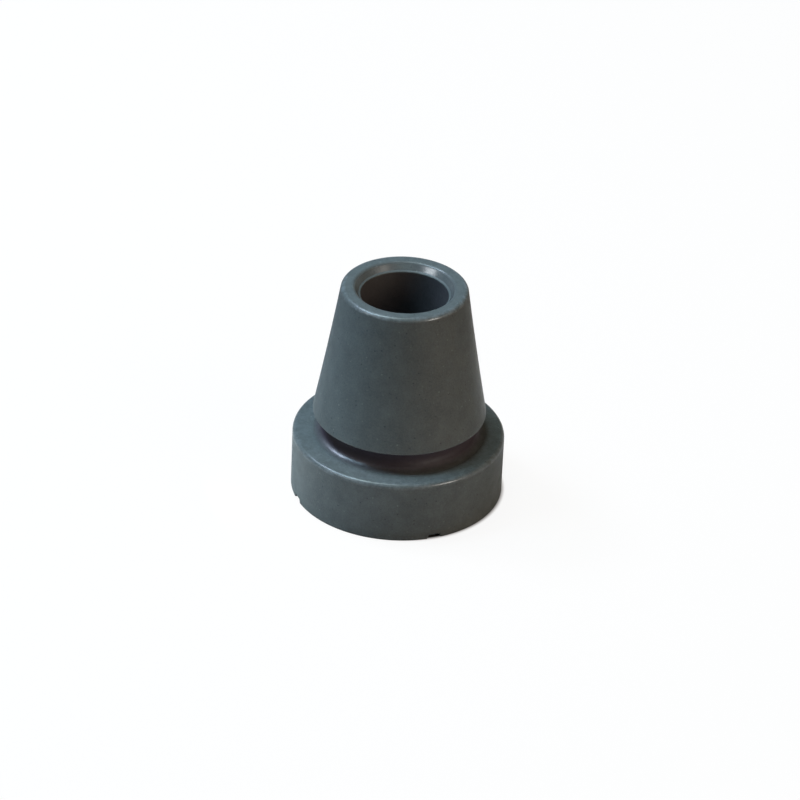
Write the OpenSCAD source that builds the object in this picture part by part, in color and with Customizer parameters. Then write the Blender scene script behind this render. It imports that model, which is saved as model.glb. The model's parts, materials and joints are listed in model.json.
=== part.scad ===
// Rubber tip for a walking cane, moulded in one piece: a tapered body with a bore that grips
// the shaft, an undercut neck that lets the tip flex, and a broad round foot with a cut tread.
// Millimetres. The origin is the centre of the sole and the shaft comes in along Z.

/* [Bore] */
// Diameter of the bore, line to line with the shaft
bore_d = 19; // [16:0.5:21]
// Depth of the bore below the rim
bore_depth = 36; // [28:0.5:42]
// Radius between the wall and the floor of the bore
bore_floor_r = 1; // [0.4:0.1:2.5]
// Width of the countersink that leads the shaft in
lead_w = 1.45; // [0.8:0.05:1.9]
// Depth of that countersink
lead_h = 1.75; // [1:0.05:3]
// Radius on both edges of the countersink
lead_edge_r = 0.3; // [0.1:0.05:0.4]

/* [Tapered body] */
// Height from the sole to the rim
height = 49.9; // [46:0.1:60]
// Diameter of the rim, before its edge is rounded
rim_d = 27.3; // [26.6:0.1:31]
// Radius on the outer edge of the rim
rim_edge_r = 1; // [0.3:0.1:1.1]
// Diameter of the body at its lower edge, before that edge is rounded
skirt_d = 37.8; // [36.4:0.1:44]
// Radius on that lower edge
skirt_edge_r = 0.4; // [0.2:0.1:0.6]

/* [Neck] */
// Diameter of the neck at the bottom of the groove
neck_d = 32.4; // [27:0.2:33.4]
// Height of the open groove between the foot and the body
neck_h = 4.9; // [4:0.1:8]
// Radius where the neck runs out into the foot
neck_foot_r = 2.5; // [1:0.1:2.8]
// Radius where the neck runs up under the body
neck_body_r = 1; // [0.4:0.1:1.2]

/* [Foot] */
// Diameter of the foot
foot_d = 46.2; // [42:0.2:56]
// Height of the foot
foot_h = 14.1; // [10:0.1:20]
// Radius on the upper edge of the foot
foot_edge_r = 0.9; // [0.3:0.1:1.6]
// Radius on the edge of the sole
sole_edge_r = 0.4; // [0.2:0.1:0.8]

/* [Tread] */
// Depth of the cut tread
tread_depth = 0.9; // [0.4:0.1:1.6]
// Slope of the tread's walls, from upright
tread_draft = 30; // [5:1:40]
// Number of radial channels
channel_count = 4; // [2:1:8]
// Width of a channel at the sole
channel_w = 3.3; // [2.6:0.1:4.5]
// Number of ring grooves
ring_count = 3; // [1:1:3]
// Width of a ring groove at the sole
ring_w = 2.2; // [2:0.1:2.8]
// Radius of the innermost ring groove, at its middle
ring_first_r = 7; // [5:0.1:8]
// Distance from one ring groove to the next
ring_pitch = 5.2; // [4:0.1:6]

/* [Hidden] */
$fn = 96;

bore_r = bore_d / 2;
rim_r = rim_d / 2;
skirt_r = skirt_d / 2;
neck_r = neck_d / 2;
foot_r = foot_d / 2;
skirt_z = foot_h + neck_h;
floor_z = height - bore_depth;
lead_z = height - lead_h;

// Longest step of a rounded corner, in degrees
arc_step = 7.5;
// How far the tread's cutters run past what they cut
overrun = 1;

rubber_grey = [0.23, 0.27, 0.28];

// Half section of the tip, anticlockwise from the middle of the sole: radius, height, round
HALF_SECTION = [
    [0, 0, 0],
    [foot_r, 0, sole_edge_r],
    [foot_r, foot_h, foot_edge_r],
    [neck_r, foot_h, neck_foot_r],
    [neck_r, skirt_z, neck_body_r],
    [skirt_r, skirt_z, skirt_edge_r],
    [rim_r, height, rim_edge_r],
    [bore_r + lead_w, height, lead_edge_r],
    [bore_r, lead_z, lead_edge_r],
    [bore_r, floor_z, bore_floor_r],
    [0, floor_z, 0]
];

// Unit vector from a towards b
function toward(a, b) = (b - a) / norm(b - a);

// Points of one corner of an outline, rounded at radius r between its neighbours a and b
function round_points(a, p, b, r) = r == 0 ? [p] :
    let (
        half = acos(toward(p, a) * toward(p, b)) / 2,
        centre = p + toward([0, 0], toward(p, a) + toward(p, b)) * r / sin(half),
        start = p + toward(p, a) * r / tan(half) - centre,
        first = atan2(start[1], start[0]),
        turn = sign(cross(p - a, b - p)) * (180 - 2 * half),
        steps = ceil(abs(turn) / arc_step)
    )
    [for (s = [0:steps]) let (angle = first + turn * s / steps) centre + r * [cos(angle), sin(angle)]];

// Points of an outline whose corners are each a place and a radius
function rounded(corners) =
    let (
        n = len(corners),
        place = [for (c = corners) [c[0], c[1]]]
    )
    [for (i = [0:n - 1]) each round_points(place[(i + n - 1) % n], place[i], place[(i + 1) % n], corners[i][2])];

// Cross-section of a tread cut: as wide as stated at the sole, narrower at its ceiling
module tread_section(width) {
    slope = tan(tread_draft);
    mouth = width / 2 + overrun * slope;
    ceiling = width / 2 - tread_depth * slope;
    polygon([[-mouth, -overrun], [mouth, -overrun], [ceiling, tread_depth], [-ceiling, tread_depth]]);
}

// Radial channels from the innermost ring groove out through the edge of the foot
module channels() {
    run = foot_r + overrun - ring_first_r;
    for (i = [0:channel_count - 1])
        rotate([0, 0, i * 360 / channel_count])
        translate([ring_first_r, 0, 0])
        rotate([90, 0, 90])
        linear_extrude(height = run)
        tread_section(channel_w);
}

// Ring grooves about the middle of the sole
module rings() {
    for (i = [0:ring_count - 1])
        rotate_extrude()
        translate([ring_first_r + i * ring_pitch, 0])
        tread_section(ring_w);
}

module cane_tip() {
    color(rubber_grey)
    difference() {
        rotate_extrude()
        polygon(rounded(HALF_SECTION));
        channels();
        rings();
    }
}

cane_tip();
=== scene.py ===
# %% [markdown]
# # A rubber cane tip
#
# The tip is one moulding of dark grey rubber: a tapered body that grips the shaft, an undercut
# neck and a broad foot with a tread. This lesson builds its skin as one surface worked out with
# numpy, gives it a rubber finish that changes from place to place, and lights it as a small
# studio would.
#
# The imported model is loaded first. It fixes where the tip stands and how large it is, and the
# skin made here stands in for its one node.

# %% Load the frame
import json
import math
from collections import namedtuple

import bpy
import numpy as np
from mathutils import Matrix, Vector


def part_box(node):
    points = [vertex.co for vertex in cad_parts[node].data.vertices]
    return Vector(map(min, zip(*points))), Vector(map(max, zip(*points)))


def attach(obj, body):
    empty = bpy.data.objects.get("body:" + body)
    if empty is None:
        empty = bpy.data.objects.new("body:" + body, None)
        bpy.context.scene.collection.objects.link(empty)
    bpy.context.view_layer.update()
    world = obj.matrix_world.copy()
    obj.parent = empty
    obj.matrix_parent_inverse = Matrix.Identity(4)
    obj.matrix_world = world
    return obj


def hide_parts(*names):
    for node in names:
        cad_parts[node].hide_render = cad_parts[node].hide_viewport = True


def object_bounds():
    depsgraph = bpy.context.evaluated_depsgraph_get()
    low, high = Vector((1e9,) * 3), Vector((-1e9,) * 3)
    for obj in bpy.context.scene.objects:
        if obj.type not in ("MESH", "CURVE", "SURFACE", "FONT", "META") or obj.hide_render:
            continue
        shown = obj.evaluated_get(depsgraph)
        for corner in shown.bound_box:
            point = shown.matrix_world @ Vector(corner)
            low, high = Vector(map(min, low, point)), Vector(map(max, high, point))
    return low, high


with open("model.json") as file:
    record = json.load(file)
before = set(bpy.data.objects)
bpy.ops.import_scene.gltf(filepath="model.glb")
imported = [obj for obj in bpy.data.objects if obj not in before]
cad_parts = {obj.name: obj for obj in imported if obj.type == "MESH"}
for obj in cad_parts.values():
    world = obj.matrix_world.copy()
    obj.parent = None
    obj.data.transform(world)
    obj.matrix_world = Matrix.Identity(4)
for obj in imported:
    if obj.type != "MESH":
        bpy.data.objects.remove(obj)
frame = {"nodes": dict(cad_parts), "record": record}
cad_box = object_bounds()
box_size = [round(v * 1000, 2) for v in cad_box[1] - cad_box[0]]
print("frame:", sorted(frame["nodes"]), "box", box_size, "mm")

# %% [markdown]
# ## Sizes
#
# The foot's radius, the height and the bore come from the frame, so the skin can't drift away
# from it. The other sizes are read off the same drawing. A moulding has no sharp edge, and the
# small radii matter most here: on a plain dark solid they carry nearly every highlight.
#
# Two small things go beyond the drawing. The tapered side bows in slightly, as rubber does when it
# cools, and the countersink ends in a narrow lip, which draws a thin pale line round the bore.

# %% Sizes of the moulding, in metres
MM = 0.001
mounts = {mount["name"]: mount for mount in frame["record"]["mounts"]}
tip_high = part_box("cane_tip")[1]

height = tip_high.z
foot_radius = tip_high.x
bore_radius = mounts["shaft_bore"]["dims"]["r_mm"] * MM

RIM_RADIUS = 13.65 * MM
SKIRT_RADIUS = 18.9 * MM
NECK_RADIUS = 16.2 * MM
FOOT_HEIGHT = 14.1 * MM
NECK_HEIGHT = 4.9 * MM
BORE_DEPTH = 36 * MM
LEAD_WIDTH = 1.45 * MM
LEAD_DEPTH = 1.75 * MM
# The lip's width, and how far it falls towards the bore
LIP_WIDTH = 0.35 * MM
LIP_DROP = 0.18 * MM
# How far the tapered side bows in halfway between its two ends
TAPER_HOLLOW = 0.13 * MM

skirt_z = FOOT_HEIGHT + NECK_HEIGHT
floor_z = height - BORE_DEPTH
lead_z = height - LEAD_DEPTH
lip_z = lead_z + LIP_DROP
print(f"foot {foot_radius * 2 / MM:.1f} mm, height {height / MM:.1f} mm, bore {bore_radius * 2 / MM:.1f} mm")

# %% Radii of the edges and fillets
SOLE_EDGE = 0.4 * MM
FOOT_EDGE = 0.9 * MM
NECK_FOOT_FILLET = 2.5 * MM
NECK_BODY_FILLET = 1.0 * MM
SKIRT_EDGE = 0.4 * MM
RIM_EDGE = 1.0 * MM
LEAD_EDGE = 0.9 * MM
LIP_ROOT = 0.35 * MM
BORE_EDGE = 0.3 * MM
BORE_FLOOR_FILLET = 1.0 * MM
print(f"edges from {BORE_EDGE / MM:.1f} mm at the bore to {NECK_FOOT_FILLET / MM:.1f} mm at the neck")

# %% [markdown]
# ## The half section
#
# Everything above the sole is turned, so it is one outline carried round the axis. It could be
# drawn as a curve and spun, but as an array the same outline also says which of its points lie
# on an edge, and the finish uses that later. Each corner of the outline is replaced by an arc that
# touches both of its sides, and the straight runs between the arcs get rings that crowd towards
# their ends, so that smooth shading doesn't smear a round out over a flat.

# %% One rounded corner
def round_corner(before, corner, after, radius, steps):
    """Arc that touches both sides of a corner.

    Its centre lies on the bisector, radius / sin(half the angle) from the corner, and it turns
    through what is left of a half circle once the corner's own angle is taken away.
    """
    before, corner, after = (np.asarray(point, float) for point in (before, corner, after))
    to_before = (before - corner) / np.linalg.norm(before - corner)
    to_after = (after - corner) / np.linalg.norm(after - corner)
    half = np.arccos(to_before @ to_after) / 2
    bisector = (to_before + to_after) / np.linalg.norm(to_before + to_after)
    centre = corner + bisector * radius / np.sin(half)
    start = corner + to_before * radius / np.tan(half) - centre
    side = np.sign(to_after[0] * to_before[1] - to_after[1] * to_before[0])
    angle = np.arctan2(start[1], start[0]) + side * (np.pi - 2 * half) * np.linspace(0, 1, steps + 1)
    return centre + radius * np.stack([np.cos(angle), np.sin(angle)], axis=1)


def crowded(count):
    """Places between 0 and 1, ends left out, that crowd towards both ends as a cosine does."""
    return 0.5 - 0.5 * np.cos(np.pi * np.arange(1, count + 1) / (count + 1))


# %% [markdown]
# ## What the skin is like along that outline
#
# One moulding still doesn't look the same all over. Where the mould's steel was polished, or where
# hands rub, the rubber has a sheen. The neck, the bore and the countersink are painted darker: this
# is painted shade, for the light that reaches into them less. Edges and flats that stand out are
# painted paler, as scuffs, and on the edges of the foot, the rim and the bore partly as a painted
# highlight. Where the steel was only half polished the sheen is satin, with small ripples.
#
# These four could be painted on by hand. Here each corner states them in numbers instead, since
# the section decides where they fall: a value where the arc starts, one where it ends and one on
# the straight run that follows. On the arc a value is cut off at 0 and 1, so a ramp that starts
# above 1 or ends below 0 fades out part of the way along.

# %% Corners from the foot's side up over the rim and down the bore
# Of these, the second paints shade into the colour, and the third paints scuffs that are partly a painted
# highlight
FINISHES = ("polish", "shelter", "wear", "satin")
PLAIN = (0.0, 0.0, 0.0)
Corner = namedtuple(
    "Corner",
    ("radius", "height", "round", "round_rings", "run_rings", *FINISHES),
    defaults=[PLAIN] * len(FINISHES),
)

# Each has its radius, height and round, then the rings on the round and on the run after it
# The values that darken the neck, the bore and the countersink are painted shade; the paler values on the
# edges of the foot, the rim and the bore are partly a painted highlight
foot_top = Corner(foot_radius, FOOT_HEIGHT, FOOT_EDGE, 10, 8, polish=(0.62, 0.62, 0.0), wear=(0.4, 0.4, 0.25))
neck_low = Corner(
    NECK_RADIUS, FOOT_HEIGHT, NECK_FOOT_FILLET, 16, 3,
    polish=(2.6, -2.0, 0.0), shelter=(0.0, 2.0, 1.0), satin=(1.0, 1.0, 0.0),
)
neck_high = Corner(NECK_RADIUS, skirt_z, NECK_BODY_FILLET, 8, 3, shelter=(1.0, 1.0, 0.8))
skirt = Corner(SKIRT_RADIUS, skirt_z, SKIRT_EDGE, 9, 40, polish=(0.3, 0.8, 0.0), shelter=(0.5, 0.0, 0.0))
rim = Corner(RIM_RADIUS, height, RIM_EDGE, 11, 6, polish=(0.58, 0.58, 0.0), wear=(0.55, 0.55, 0.15))
lead_high = Corner(
    bore_radius + LEAD_WIDTH, height, LEAD_EDGE, 8, 5,
    polish=(0.0, 0.7, 1.2), shelter=(0.0, 0.15, 0.15), satin=(0.0, 0.5, 0.6),
)
lip_root = Corner(
    bore_radius + LIP_WIDTH, lip_z, LIP_ROOT, 5, 3,
    polish=(0.7, 0.1, 0.1), shelter=(0.15, 0.0, 0.0), satin=(0.5, 0.2, 0.0),
)
lip_edge = Corner(
    bore_radius, lead_z, BORE_EDGE, 7, 28,
    polish=(0.1, 0.0, 0.0), shelter=(0.0, 0.0, 0.55), wear=(0.2, 0.2, 0.0),
)
bore_floor = Corner(bore_radius, floor_z, BORE_FLOOR_FILLET, 8, 8, shelter=(0.55, 0.55, 0.55))
CORNERS = [foot_top, neck_low, neck_high, skirt, rim, lead_high, lip_root, lip_edge, bore_floor]
print("corners:", len(CORNERS))


# %% The outline above the sole
def upper_outline():
    """Rows of the turned outline: radius, height and the four finishes.

    A run is the straight line from the end of one arc to the start of the next. Along the tapered
    side a parabola, 4 t (1 - t), takes the hollow off the radius.
    """
    chain = [(foot_radius, 0), *[(corner.radius, corner.height) for corner in CORNERS], (0, floor_z)]
    arcs = [
        round_corner(chain[i], chain[i + 1], chain[i + 2], corner.round, corner.round_rings)
        for i, corner in enumerate(CORNERS)
    ]
    starts = [arc[0] for arc in arcs[1:]] + [np.array([0, floor_z])]
    rows = []
    for corner, arc, end in zip(CORNERS, arcs, starts):
        t = crowded(corner.run_rings)[:, None]
        run = arc[-1] * (1 - t) + end * t
        if corner is skirt:
            run[:, 0] -= TAPER_HOLLOW * 4 * (t * (1 - t))[:, 0]
        along = np.linspace(0, 1, len(arc))
        ramps = [getattr(corner, name) for name in FINISHES]
        on_arc = [np.clip(first + (last - first) * along, 0, 1) for first, last, _ in ramps]
        on_run = [np.full(len(run), after) for _, _, after in ramps]
        rows.append(np.column_stack([arc, *on_arc]))
        rows.append(np.column_stack([run, *on_run]))
    return np.concatenate(rows)


outline = upper_outline()
print("outline:", len(outline), "rows, widest", round(outline[:, 0].max() / MM, 2), "mm")

# %% [markdown]
# ## The tread
#
# Two of the tread's channels break through the lower edge of the foot where they can be seen.
# Four of them cross three ring grooves under the sole. Cutting them out with a boolean would
# leave a ragged mesh, so the tread is a height over the sole instead: a groove is a smooth step in
# the distance from its middle line, and two grooves that cross are joined as overlapping chances
# are, 1 - (1 - a)(1 - b), which rounds the corners where they meet.

# %% Height of the tread over the sole
TREAD_DEPTH = 0.9 * MM
TREAD_DRAFT = math.radians(30)
CHANNEL_HALF = 1.65 * MM
CHANNELS = 4
RING_HALF = 1.1 * MM
RING_FIRST = 7 * MM
RING_PITCH = 5.2 * MM
RINGS = 3
wall_run = TREAD_DEPTH * math.tan(TREAD_DRAFT)
ring_radii = RING_FIRST + RING_PITCH * np.arange(RINGS)


def groove(distance, half_width):
    """1 on a groove's ceiling and 0 on the sole, by a smooth step over the run of its wall."""
    s = np.clip((half_width - distance) / wall_run, 0, 1)
    return s * s * (3 - 2 * s)


def tread(radius, angle):
    """Height of the sole's surface: ring grooves by radius, channels by distance from their lines."""
    ring = np.max([groove(np.abs(radius - r), RING_HALF) for r in ring_radii], axis=0)
    turn = 2 * np.pi / CHANNELS
    off = (angle + turn / 2) % turn - turn / 2
    channel = groove(np.abs(radius * np.sin(off)), CHANNEL_HALF) * (radius >= RING_FIRST)
    return TREAD_DEPTH * (1 - (1 - ring) * (1 - channel))


print(f"tread: {CHANNELS} channels and {RINGS} rings, {TREAD_DEPTH / MM:.1f} mm deep")

# %% [markdown]
# ## Rows and columns
#
# A grid only shows a groove cleanly where its lines lie along the groove's edges. So the rows of
# the sole crowd at the ring grooves, and the columns fan out from each channel at fixed distances
# from its middle line, which makes them bend a little towards the centre of the sole.

# %% Rows of the sole and columns round the axis
LAND_MARGIN = 0.35 * MM
WALL_STEPS = 6
LAND_COLUMNS = 26
PAD_ROWS = 4
OUTER_SHARES = np.array([0.3, 0.6, 0.85, 1])


def across(half_width):
    """Distances from a groove's middle line: its ceiling, its sloped wall and a little of the land."""
    ceiling = half_width - wall_run
    wall = ceiling + wall_run * np.linspace(0, 1, WALL_STEPS + 1)
    return np.concatenate([[0, ceiling / 2], wall, [half_width + LAND_MARGIN]])


def sole_radii():
    """Radii of the sole's rows, from just off its centre to where its edge starts to round."""
    offsets = across(RING_HALF)
    both = np.concatenate([-offsets[:0:-1], offsets])
    pad = (RING_FIRST + both[0]) * np.arange(1, PAD_ROWS + 1) / (PAD_ROWS + 1)
    rings = (ring_radii[:, None] + both).ravel()
    lands = (ring_radii[:-1] + ring_radii[1:]) / 2
    outer = rings.max() + (foot_radius - SOLE_EDGE - rings.max()) * OUTER_SHARES
    return np.sort(np.concatenate([pad, rings, lands, outer]))


def column_angles(radius):
    """Angle of every column at each radius.

    Near a channel a column keeps its distance y from the channel's line, so its angle is
    arcsin(y / radius). The land up to the middle of the next gap is shared out evenly, and the
    eighth that this gives is mirrored and repeated. Inside the first ring the angles stay put.
    """
    reach = np.maximum(radius, RING_FIRST)[:, None]
    near = np.arcsin(across(CHANNEL_HALF)[None] / reach)
    middle = np.pi / CHANNELS
    share = np.linspace(0, 1, LAND_COLUMNS + 1)[None, 1:]
    land = near[:, -1:] + (middle - near[:, -1:]) * share
    eighth = np.hstack([near, land])
    sector = np.hstack([eighth, 2 * middle - eighth[:, -2:0:-1]])
    return np.hstack([sector + 2 * middle * k for k in range(CHANNELS)])


print("sole:", len(sole_radii()), "rows")

# %% [markdown]
# ## The whole skin
#
# Sole, side, neck, body and bore are one closed grid: the rows start at a pole in the middle of
# the sole and end at a pole in the middle of the bore's floor. Each row has a radius, a height
# and a share of the tread's height. The share is 1 on the sole and its edge, fades to 0 up
# the foot's side and stays 0 above, so a channel runs out through the side as a real notch.

# %% Work out the grid
SIDE_ROWS = 12
EDGE_STEPS = 6
SIDE_POLISH = 0.2


def tip_rows():
    """Rows between the poles: radius, height, tread share and the four finishes.

    The sole is flat, its edge is a quarter circle and the foot's side is upright. The tread's
    share falls evenly from 1 to 0 up that side.
    """
    flat = sole_radii()
    turn = np.linspace(0, np.pi / 2, EDGE_STEPS + 1)[1:]
    t = crowded(SIDE_ROWS)
    lower = np.zeros((len(flat) + len(turn) + len(t), 3 + len(FINISHES)))
    sole, edge, side = np.split(lower, [len(flat), len(flat) + len(turn)])
    sole[:, 0] = flat
    sole[:, 2] = 1
    edge[:, 0] = foot_radius - SOLE_EDGE + SOLE_EDGE * np.sin(turn)
    edge[:, 1] = SOLE_EDGE - SOLE_EDGE * np.cos(turn)
    edge[:, 2] = 1
    side[:, 0] = foot_radius
    side[:, 1] = SOLE_EDGE + (FOOT_HEIGHT - FOOT_EDGE - SOLE_EDGE) * t
    side[:, 2] = 1 - t
    side[:, 3 + FINISHES.index("polish")] = SIDE_POLISH
    upper = np.insert(outline, 2, 0, axis=1)
    return np.concatenate([lower, upper])


rows = tip_rows()
angles = column_angles(np.where(rows[:, 2] > 0, rows[:, 0], foot_radius))
radius = rows[:, :1] + 0 * angles
lift = rows[:, 2:3] * tread(np.minimum(radius, foot_radius), angles)
points = np.stack([radius * np.cos(angles), radius * np.sin(angles), rows[:, 1:2] + lift], axis=2)
print("grid:", points.shape[0], "rows by", points.shape[1], "columns")


# %% Turn a grid with two poles into a mesh
def closed_skin(name, grid, first_pole, last_pole):
    """Mesh of a grid that closes round its columns and ends in a point at both ends of its rows."""
    n_rows, n_columns = grid.shape[:2]
    vertices = np.concatenate([grid.reshape(-1, 3), [first_pole, last_pole]])
    index = np.arange(n_rows * n_columns).reshape(n_rows, n_columns)
    beside = np.roll(index, -1, axis=1)
    quads = np.stack([index[:-1], beside[:-1], beside[1:], index[1:]], axis=-1).reshape(-1, 4)
    first = np.stack([beside[0], index[0], np.full(n_columns, n_rows * n_columns)], axis=-1)
    last = np.stack([index[-1], beside[-1], np.full(n_columns, n_rows * n_columns + 1)], axis=-1)
    mesh = bpy.data.meshes.new(name)
    mesh.from_pydata(vertices.tolist(), [], quads.tolist() + first.tolist() + last.tolist())
    mesh.polygons.foreach_set("use_smooth", np.ones(len(mesh.polygons), bool))
    piece = bpy.data.objects.new(name, mesh)
    bpy.context.scene.collection.objects.link(piece)
    return piece


def enclosed_volume(mesh):
    """Volume inside a closed mesh, positive where its faces point outwards.

    Each triangle and the origin make a thin pyramid of a . (b x c) / 6, and the pyramids add up.
    """
    mesh.calc_loop_triangles()
    corners = np.empty(len(mesh.loop_triangles) * 3, np.int32)
    mesh.loop_triangles.foreach_get("vertices", corners)
    places = np.empty(len(mesh.vertices) * 3)
    mesh.vertices.foreach_get("co", places)
    a, b, c = places.reshape(-1, 3)[corners.reshape(-1, 3)].transpose(1, 0, 2)
    return float(np.einsum("ij,ij->i", a, np.cross(b, c)).sum() / 6)


skin = closed_skin("cane_tip_skin", points, (0, 0, 0), (0, 0, floor_z))
print(f"skin: {len(skin.data.polygons)} faces, {enclosed_volume(skin.data) * 1e6:.2f} cm3")

# %% Store the finish, with its painted shade and painted highlight, on the skin and hand the piece over
at_poles = np.zeros((2, len(FINISHES)))
at_poles[1] = rows[-1, 3:]
finish_values = np.concatenate([np.repeat(rows[:, 3:], points.shape[1], axis=0), at_poles])
for name, values in zip(FINISHES, finish_values.T):
    layer = skin.data.attributes.new(name, "FLOAT", "POINT")
    layer.data.foreach_set("value", values.astype(np.float32))

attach(skin, "root")
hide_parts("cane_tip")
print("stored on the skin:", ", ".join(FINISHES))

# %% [markdown]
# ## Shader helpers
#
# A material built node by node gets long, and most of its lines only make a node and join it up.
# A few helpers take that over, so that the materials below read as what they do to the surface.
# Each returns the output that the next step needs.

# %% Helpers for shader nodes
def node(tree, kind, **values):
    """Adds a shader node and sets its inputs by name."""
    made = tree.nodes.new(kind)
    for name, value in values.items():
        made.inputs[name.replace("_", " ")].default_value = value
    return made


def feed(tree, socket, value):
    """Links another node's output to a socket, or sets a plain value on it."""
    if isinstance(value, bpy.types.NodeSocket):
        tree.links.new(value, socket)
    else:
        socket.default_value = value


def reckon(tree, operation, first, second):
    """Sum, product or the like of two operands, each a number or an output."""
    made = tree.nodes.new("ShaderNodeMath")
    made.operation = operation
    feed(tree, made.inputs[0], first)
    feed(tree, made.inputs[1], second)
    return made.outputs["Value"]


def ramp(tree, value, start, end, low=0.0, high=1.0):
    """Straight line from low at start to high at end, level beyond both."""
    made = node(tree, "ShaderNodeMapRange", From_Min=start, From_Max=end, To_Min=low, To_Max=high)
    feed(tree, made.inputs["Value"], value)
    return made.outputs["Result"]


def blend(tree, share, first, second):
    """Mix of two colours, the first where the share is 0 and the second where it is 1."""
    made = tree.nodes.new("ShaderNodeMix")
    made.data_type = "RGBA"
    feed(tree, made.inputs["Factor"], share)
    feed(tree, made.inputs["A"], first)
    feed(tree, made.inputs["B"], second)
    return made.outputs["Result"]


def noise(tree, where, scale, detail, roughness=0.5):
    """Cloudy noise about a half, with this many features to the metre."""
    made = node(tree, "ShaderNodeTexNoise", Scale=scale, Detail=detail, Roughness=roughness)
    feed(tree, made.inputs["Vector"], where)
    return made.outputs["Fac"]


def stored(tree, name):
    """One of the finishes stored on the skin."""
    made = tree.nodes.new("ShaderNodeAttribute")
    made.attribute_name = name
    return made.outputs["Fac"]


# %% Place the nodes so that the tree can be read in the editor
NODE_COLUMN = 240
NODE_ROW = 320


def lay_out(tree):
    """Sets the nodes out in columns, each at least one to the left of every node that it feeds."""
    column = {made.name: 0 for made in tree.nodes}
    for _ in column:
        for link in tree.links:
            column[link.from_node.name] = max(column[link.from_node.name], column[link.to_node.name] + 1)
    filled = [0] * (max(column.values()) + 1)
    for name, place in column.items():
        tree.nodes[name].location = (-NODE_COLUMN * place, -NODE_ROW * filled[place])
        filled[place] += 1


# %% [markdown]
# ## The rubber's colour
#
# Rubber is coloured in the mix, and never quite evenly: the pigment clouds over a few
# millimetres, with a fine dust in it, and here and there is a pit or a pale grain. One flat
# colour would look like plastic. The clouds and the dust are two noises added together. A pit or a
# grain sits in the middle of a Voronoi cell, and the cell's own random number picks which of
# the two it is and how strong. Paler scuffs, which on the edges are partly a painted highlight, and
# painted shade in the neck, the bore and the countersink then go over that, where the stored
# finish says so. Every pattern sits on object coordinates, so it has one size all over the tip.

# %% Colour of the rubber
RUBBER_DARK = (0.088, 0.103, 0.107, 1)
RUBBER_PALE = (0.122, 0.142, 0.146, 1)
# Paler colour of scuffs, which on the edges of the foot, the rim and the bore is partly a painted highlight
RUBBER_WORN_AND_HIGHLIGHT = (0.19, 0.215, 0.24, 1)
# Painted shade: the dark colour that the neck, the bore and the countersink are painted towards
RUBBER_PAINTED_SHADE = (0.052, 0.041, 0.055, 1)
RUBBER_PIT = (0.05, 0.055, 0.058, 1)
RUBBER_SPECK = (0.19, 0.215, 0.215, 1)

CLOUDS_PER_METRE = 260.0
DUST_PER_METRE = 2800.0
SPECKS_PER_METRE = 850.0
SCUFFS_AND_HIGHLIGHT_PER_METRE = 900.0
# Sum of clouds and dust at which the pigment is darkest and palest
TONE_RANGE = (0.7, 1.3)
# Distance from a cell's middle at which a speck begins to fade and is gone
SPECK_FADE = (0.06, 0.2)
# Random number at which a pit or a pale grain begins to show and is strongest
PIT_DRAW = (0.5, 0.0)
SPECK_DRAW = (0.6, 1.0)
# Noise at which a scuff, partly a painted highlight, begins and is strongest
SCUFF_AND_HIGHLIGHT_RANGE = (0.44, 0.62)


def rubber_colour(tree, where, clouds, finish):
    """Dark to pale by clouds plus dust, then specks, then paler scuffs that are partly a painted highlight,
    then painted shade.
    """
    dust = noise(tree, where, DUST_PER_METRE, detail=2.0, roughness=0.6)
    tone = ramp(tree, reckon(tree, "ADD", clouds, dust), *TONE_RANGE)
    colour = blend(tree, tone, RUBBER_DARK, RUBBER_PALE)

    cells = node(tree, "ShaderNodeTexVoronoi", Scale=SPECKS_PER_METRE)
    feed(tree, cells.inputs["Vector"], where)
    dot = ramp(tree, cells.outputs["Distance"], *SPECK_FADE, low=1.0, high=0.0)
    draw = node(tree, "ShaderNodeSeparateColor")
    feed(tree, draw.inputs["Color"], cells.outputs["Color"])
    for draw_range, speck in ((PIT_DRAW, RUBBER_PIT), (SPECK_DRAW, RUBBER_SPECK)):
        strength = ramp(tree, draw.outputs["Red"], *draw_range)
        colour = blend(tree, reckon(tree, "MULTIPLY", dot, strength), colour, speck)

    # Paler scuffs: real wear on the flats, and on the edges partly a painted highlight
    scuffs_and_highlight = ramp(tree, noise(tree, where, SCUFFS_AND_HIGHLIGHT_PER_METRE, detail=4.0, roughness=0.65), *SCUFF_AND_HIGHLIGHT_RANGE)
    colour = blend(tree, reckon(tree, "MULTIPLY", finish["wear"], scuffs_and_highlight), colour, RUBBER_WORN_AND_HIGHLIGHT)
    # Painted shade: the neck, the bore and the countersink are painted darker where the stored value says so
    return blend(tree, finish["shelter"], colour, RUBBER_PAINTED_SHADE)


# %% [markdown]
# ## Its sheen and its grain
#
# Raw rubber is matte, and only polished places shine. Lowering the roughness there would be
# simpler, but it takes the matte look away with it. A thin coat over the matte base keeps both: its
# weight follows the polish and the clouds, so a highlight breaks up a little along its length.
#
# The grain left by the mould is far too small to model, so it is bump: a fine grain, and shallow
# dimples a millimetre apart. Both grow weaker with the polish, because a bump under a sharp
# highlight scatters it, and satin places keep more of the dimples.

# %% Coat, grain and dimples
BASE_SPECULAR = 0.2
BASE_ROUGHNESS = (0.5, 0.6)
PATCHES_PER_METRE = 420.0
PATCH_RANGE = (0.3, 0.7)

COAT_WEIGHT = 1.3
COAT_IOR = 1.7
# Roughness of the coat without polish and with full polish
COAT_ROUGHNESS = (0.36, 0.2)
SATIN_WEIGHT = 0.8
SATIN_HAZE = 0.1

GRAIN_PER_METRE = 2600.0
GRAIN_DEPTH = 0.06 * MM
DIMPLES_PER_METRE = 800.0
DIMPLE_DEPTH = 0.12 * MM
# Strength of each bump without polish and with full polish
GRAIN_STRENGTH = (0.35, 0.06)
DIMPLE_STRENGTH = (0.3, 0.1)
SATIN_DIMPLES = 0.9


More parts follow.
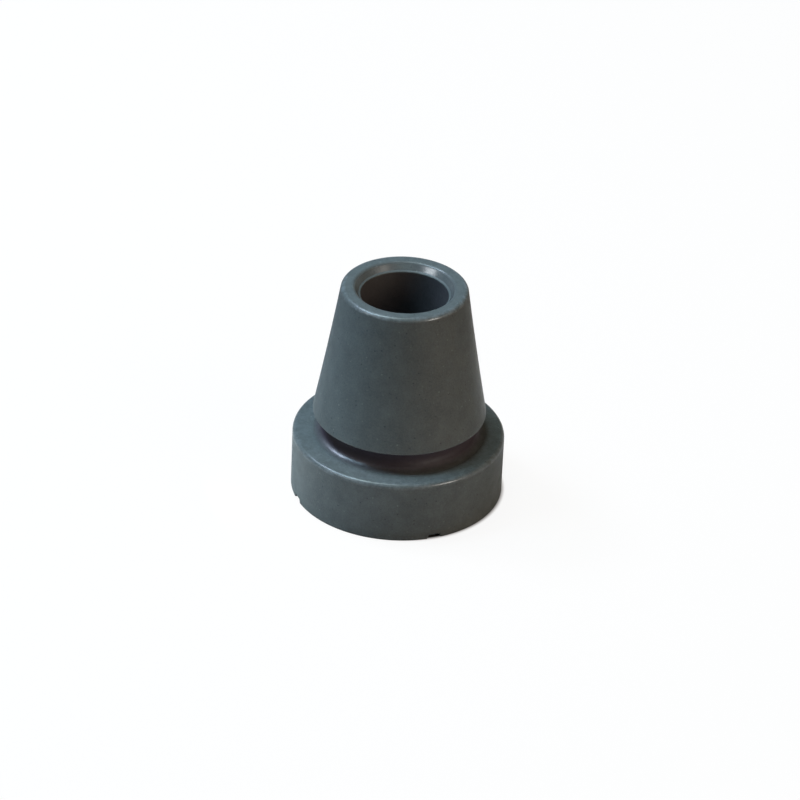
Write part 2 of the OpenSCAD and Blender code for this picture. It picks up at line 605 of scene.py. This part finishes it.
def rubber_coat(tree, clouds, finish):
    """Weight and roughness of the coat.

    The weight is polish x clouds x (coat weight + satin weight x satin). The roughness falls with
    the polish, and satin adds a little haze.
    """
    buffed = reckon(tree, "MULTIPLY", finish["polish"], clouds)
    satin = reckon(tree, "MULTIPLY", finish["satin"], SATIN_WEIGHT)
    weight = reckon(tree, "MULTIPLY", buffed, reckon(tree, "ADD", satin, COAT_WEIGHT))
    haze = reckon(tree, "MULTIPLY", finish["satin"], SATIN_HAZE)
    roughness = reckon(tree, "ADD", ramp(tree, finish["polish"], 0.0, 1.0, *COAT_ROUGHNESS), haze)
    return weight, roughness


def rubber_bumps(tree, where, finish):
    """Normal bent by the grain and then by the dimples."""
    grain = node(tree, "ShaderNodeBump", Distance=GRAIN_DEPTH)
    feed(tree, grain.inputs["Height"], noise(tree, where, GRAIN_PER_METRE, detail=3.0, roughness=0.6))
    feed(tree, grain.inputs["Strength"], ramp(tree, finish["polish"], 0.0, 1.0, *GRAIN_STRENGTH))
    dimples = node(tree, "ShaderNodeBump", Distance=DIMPLE_DEPTH)
    feed(tree, dimples.inputs["Height"], noise(tree, where, DIMPLES_PER_METRE, detail=2.0))
    plain = ramp(tree, finish["polish"], 0.0, 1.0, *DIMPLE_STRENGTH)
    satin = reckon(tree, "MULTIPLY", finish["satin"], SATIN_DIMPLES)
    feed(tree, dimples.inputs["Strength"], reckon(tree, "MAXIMUM", plain, satin))
    feed(tree, dimples.inputs["Normal"], grain.outputs["Normal"])
    return dimples.outputs["Normal"]


# %% Put the rubber together
def rubber():
    """Moulded rubber: the colour, the coat and the bumps on one shader."""
    material = bpy.data.materials.new("moulded_rubber")
    material.use_nodes = True
    tree = material.node_tree
    where = node(tree, "ShaderNodeTexCoord").outputs["Object"]
    finish = {name: stored(tree, name) for name in FINISHES}
    clouds = noise(tree, where, CLOUDS_PER_METRE, detail=6.0, roughness=0.6)
    patches = noise(tree, where, PATCHES_PER_METRE, detail=4.0)
    coat_weight, coat_roughness = rubber_coat(tree, clouds, finish)
    parts = {
        "Base Color": rubber_colour(tree, where, clouds, finish),
        "Specular IOR Level": BASE_SPECULAR,
        "Roughness": ramp(tree, patches, *PATCH_RANGE, *BASE_ROUGHNESS),
        "Coat Weight": coat_weight,
        "Coat Roughness": coat_roughness,
        "Coat IOR": COAT_IOR,
        "Normal": rubber_bumps(tree, where, finish),
    }
    shader = tree.nodes["Principled BSDF"]
    for name, value in parts.items():
        feed(tree, shader.inputs[name], value)
    lay_out(tree)
    return material


skin.data.materials.append(rubber())
print("finish:", skin.data.materials[0].name, "with", len(skin.data.materials[0].node_tree.nodes), "nodes")

# %% [markdown]
# ## Camera
#
# The photograph was taken from a little above, with a long lens and slightly turned. The camera
# stands a metre away, so the foot and the rim keep nearly the same scale, and it is rolled by the
# same small angle.

# %% Camera at the photograph's viewing angle
FRAME_PIXELS = 800
VIEW_AZIMUTH = math.radians(-22.2)
VIEW_ELEVATION = math.radians(31.45)
VIEW_DISTANCE = 1.0
VIEW_ROLL = math.radians(2.58)
PIXELS_PER_METRE = 4613
TARGET = Vector((0, 0, 0.024))
TARGET_PIXEL = (400.3, 390.1)
SENSOR = 36.0

view_right = Vector((math.cos(VIEW_AZIMUTH), math.sin(VIEW_AZIMUTH), 0))
view_away = Vector((-math.sin(VIEW_AZIMUTH), math.cos(VIEW_AZIMUTH), 0))
towards_camera = Vector((0, 0, math.sin(VIEW_ELEVATION))) - view_away * math.cos(VIEW_ELEVATION)
view_up = Vector((0, 0, math.cos(VIEW_ELEVATION))) + view_away * math.sin(VIEW_ELEVATION)

centre_x = FRAME_PIXELS / 2 - TARGET_PIXEL[0]
centre_y = FRAME_PIXELS / 2 - TARGET_PIXEL[1]
aim_right = centre_x * math.cos(VIEW_ROLL) + centre_y * math.sin(VIEW_ROLL)
aim_down = centre_y * math.cos(VIEW_ROLL) - centre_x * math.sin(VIEW_ROLL)
aim = TARGET + (view_right * aim_right - view_up * aim_down) / PIXELS_PER_METRE

camera = bpy.data.objects.new("camera", bpy.data.cameras.new("camera"))
bpy.context.scene.collection.objects.link(camera)
bpy.context.scene.camera = camera
camera.data.sensor_width = SENSOR
camera.data.lens = SENSOR * PIXELS_PER_METRE * VIEW_DISTANCE / FRAME_PIXELS
camera.data.clip_end = 20
camera.location = TARGET + towards_camera * VIEW_DISTANCE
look = (aim - camera.location).to_track_quat("-Z", "Y").to_matrix().to_4x4()
camera.matrix_world = Matrix.Translation(camera.location) @ look @ Matrix.Rotation(VIEW_ROLL, 4, "Z")
print(f"camera: {camera.data.lens:.1f} mm lens, {math.degrees(VIEW_ELEVATION):.1f} degrees up")

# %% [markdown]
# ## The floor
#
# The tip stands on white. A floor bright enough to look white would pour light up over the dark
# rubber, so the floor glows only to rays from the camera, and faintly to those that a shiny place
# sends out. A share of it stays matte and keeps the tip's shadow.
#
# What it throws up on the tip is set apart from how it looks. It is white on a sheet round the
# tip, dark beyond, and dimmer on a patch at the front right, where the foot's side is darker. Right
# under the edge of the foot, where a real floor and the rubber touch, a contact shadow is painted: a
# dark ring, shifted a little to the right, that is dark for the camera as well, and the end of a
# channel shows in it as a dark notch.

# %% Looks of the floor
FLOOR_WHITE = (0.96, 0.89, 0.86, 1)
FLOOR_FAR = (0.04, 0.04, 0.04, 1)
# Share of the floor that glows, to the camera and in a reflection
FLOOR_GLOW = 0.92
FLOOR_MIRRORED = 0.15
# Bright sheet: where it starts to fade and where it ends
SHEET_CENTRE = view_right * -0.008
SHEET_FADE = (0.075, 0.095)
# Dim patch: how much is left inside it, and where it starts to fade and ends
SHADE_CENTRE = view_right * 0.017 - view_away * 0.01
SHADE_FADE = (0.025, 0.05)
SHADE_LEVEL = 0.3
# Painted contact shadow: a dark ring under the edge of the foot
CONTACT_SHADOW_CENTRE = (view_right * 0.8 - view_away * 0.1) * MM
CONTACT_SHADOW_WIDTH = 1.1 * MM


def distance_from(tree, where, centre):
    """Distance of a place from a fixed point."""
    made = tree.nodes.new("ShaderNodeVectorMath")
    made.operation = "DISTANCE"
    feed(tree, made.inputs[0], where)
    feed(tree, made.inputs[1], centre)
    return made.outputs["Value"]


def floor_glow(tree, path, contact_shadow):
    """Share of the floor that glows: most of it for the camera, some in a reflection, none in the painted
    contact shadow.
    """
    seen = reckon(tree, "MULTIPLY", path["Is Camera Ray"], FLOOR_GLOW)
    mirror = reckon(tree, "MAXIMUM", path["Is Glossy Ray"], path["Is Transmission Ray"])
    share = reckon(tree, "ADD", seen, reckon(tree, "MULTIPLY", mirror, FLOOR_MIRRORED))
    return reckon(tree, "MULTIPLY", share, contact_shadow)


def floor_white(tree, where, path, contact_shadow):
    """Share of white in the matte floor: all for the camera, sheet x dim patch for light thrown up, none in
    the painted contact shadow.
    """
    sheet = ramp(tree, distance_from(tree, where, SHEET_CENTRE), *SHEET_FADE, low=1.0, high=0.0)
    shade = ramp(tree, distance_from(tree, where, SHADE_CENTRE), *SHADE_FADE, low=SHADE_LEVEL)
    bounce = reckon(tree, "MULTIPLY", sheet, shade)
    white = reckon(tree, "MAXIMUM", path["Is Camera Ray"], bounce)
    return reckon(tree, "MULTIPLY", white, contact_shadow)


# %% Floor
FLOOR_HALF = 3.0


def floor_material():
    """Matte floor mixed with a white glow."""
    material = bpy.data.materials.new("floor_white")
    material.use_nodes = True
    tree = material.node_tree
    tree.nodes.clear()
    path = node(tree, "ShaderNodeLightPath").outputs
    where = node(tree, "ShaderNodeTexCoord").outputs["Object"]
    # Painted contact shadow under the foot's edge, for every ray
    from_axis = distance_from(tree, where, CONTACT_SHADOW_CENTRE)
    contact_shadow = ramp(tree, from_axis, foot_radius - CONTACT_SHADOW_WIDTH, foot_radius)
    matte = node(tree, "ShaderNodeBsdfDiffuse")
    white = floor_white(tree, where, path, contact_shadow)
    feed(tree, matte.inputs["Color"], blend(tree, white, FLOOR_FAR, FLOOR_WHITE))
    glow = node(tree, "ShaderNodeEmission", Color=(1, 1, 1, 1), Strength=1.0)
    mix = node(tree, "ShaderNodeMixShader")
    feed(tree, mix.inputs["Fac"], floor_glow(tree, path, contact_shadow))
    feed(tree, mix.inputs[1], matte.outputs["BSDF"])
    feed(tree, mix.inputs[2], glow.outputs["Emission"])
    feed(tree, node(tree, "ShaderNodeOutputMaterial").inputs["Surface"], mix.outputs["Shader"])
    lay_out(tree)
    return material


floor_corners = [(x * FLOOR_HALF, y * FLOOR_HALF, 0) for x, y in ((-1, -1), (1, -1), (1, 1), (-1, 1))]
floor_mesh = bpy.data.meshes.new("floor")
floor_mesh.from_pydata(floor_corners, [], [(0, 1, 2, 3)])
floor_mesh.materials.append(floor_material())
floor = bpy.data.objects.new("floor", floor_mesh)
bpy.context.scene.collection.objects.link(floor)
print("floor:", floor_mesh.materials[0].name, FLOOR_HALF * 2, "m wide")

# %% [markdown]
# ## The room and the lamps
#
# The room is nearly dark, with a pale band at the horizon that gives the sides a soft edge. Two
# cool lamps high on the left light that flank and throw the body's shadow over the neck, a large
# one overhead lights the flats, and two warm, weaker ones on the right fill the other side. A tiny
# one close to the foot's left side lifts that side alone, because light falls off with the square
# of the distance and has nearly gone where it reaches the cone.
#
# Glints are lit apart, as a photographer does with cards held beside the object. A card here is a
# lamp that only reflections see: the left one makes the glint in the countersink, the right one
# the brown streak in the neck, and the front one lifts the back of the countersink. The last one
# lies on the floor behind the tip and draws the pale line down the cone's right edge. The warm
# lamps in turn stay out of reflections, or they would show as orange spots.

# %% Room
HORIZON_STRENGTH = 0.5
ROOM_STRENGTH = 0.02
HORIZON_LOW = math.radians(5)
HORIZON_HIGH = math.radians(9)

world = bpy.data.worlds.new("studio")
bpy.context.scene.world = world
world.use_nodes = True
room = world.node_tree
sky = room.nodes["Background"]
sky.inputs["Color"].default_value = (1, 1, 1, 1)
upwards = node(room, "ShaderNodeSeparateXYZ")
feed(room, upwards.inputs["Vector"], node(room, "ShaderNodeTexCoord").outputs["Generated"])
band = ramp(
    room, upwards.outputs["Z"], math.sin(HORIZON_LOW), math.sin(HORIZON_HIGH),
    low=HORIZON_STRENGTH, high=ROOM_STRENGTH,
)
feed(room, sky.inputs["Strength"], band)
lay_out(room)
print("room:", HORIZON_STRENGTH, "at the horizon,", ROOM_STRENGTH, "above")


# %% Lamps and cards
def lamp(name, direction, size, watts, colour, distance=1.0):
    """Square lamp aimed at the tip, in a direction seen from the camera: right, away and up."""
    right, away, up = direction
    data = bpy.data.lights.new(name, "AREA")
    data.size = size
    data.energy = watts
    data.color = colour
    lit = bpy.data.objects.new(name, data)
    bpy.context.scene.collection.objects.link(lit)
    towards = (view_right * right + view_away * away + Vector((0, 0, up))).normalized()
    lit.location = TARGET + towards * distance
    lit.rotation_mode = "QUATERNION"
    lit.rotation_quaternion = towards.to_track_quat("Z", "Y")
    return lit


lamp("key_left", (-0.49, 0.0, 0.872), 0.25, 4.8, (0.52, 0.78, 1.0))
lamp("back_left", (-0.555, 0.27, 0.785), 0.2, 3.7, (0.7, 0.8, 1.0))
lamp("top", (-0.23, 0.1, 0.968), 0.45, 4.8, (0.8, 1.0, 0.97))

warm_lamps = [
    lamp("fill_right", (0.68, -0.57, 0.47), 0.5, 2.0, (1.0, 0.72, 0.5)),
    lamp("side_right", (0.91, -0.24, 0.34), 0.6, 1.4, (1.0, 0.74, 0.48)),
]
for warm in warm_lamps:
    warm.visible_glossy = False

cards = [
    lamp("card_left", (-0.76, -0.39, 0.53), 0.36, 2.8, (0.9, 0.95, 1.0)),
    lamp("card_right", (0.76, -0.58, 0.3), 0.28, 5.2, (1.0, 0.95, 0.88)),
    lamp("card_front", (0.0, -0.78, 0.62), 0.65, 0.6, (0.7, 1.0, 1.0), distance=1.3),
    lamp("sheet_right", (0.0, 0.0, -1.0), 0.06, 0.0115, (1.0, 0.97, 0.92)),
]
for card in cards:
    card.visible_diffuse = False

# The last card lies behind the tip, facing up and just clear of the floor
lying = cards[-1]
lying.location = view_right * 0.03 + view_away * 0.067 + Vector((0, 0, 1 * MM))

near_left = lamp("near_left", (-0.0435, -0.0117, -0.016), 0.012, 0.0013, (0.85, 1.0, 0.95), distance=0.0478)
near_left.visible_glossy = False

# These two stand within the picture, so the camera is kept from seeing them
for hidden in (lying, near_left):
    hidden.visible_camera = False

bpy.context.scene.view_settings.view_transform = "Standard"
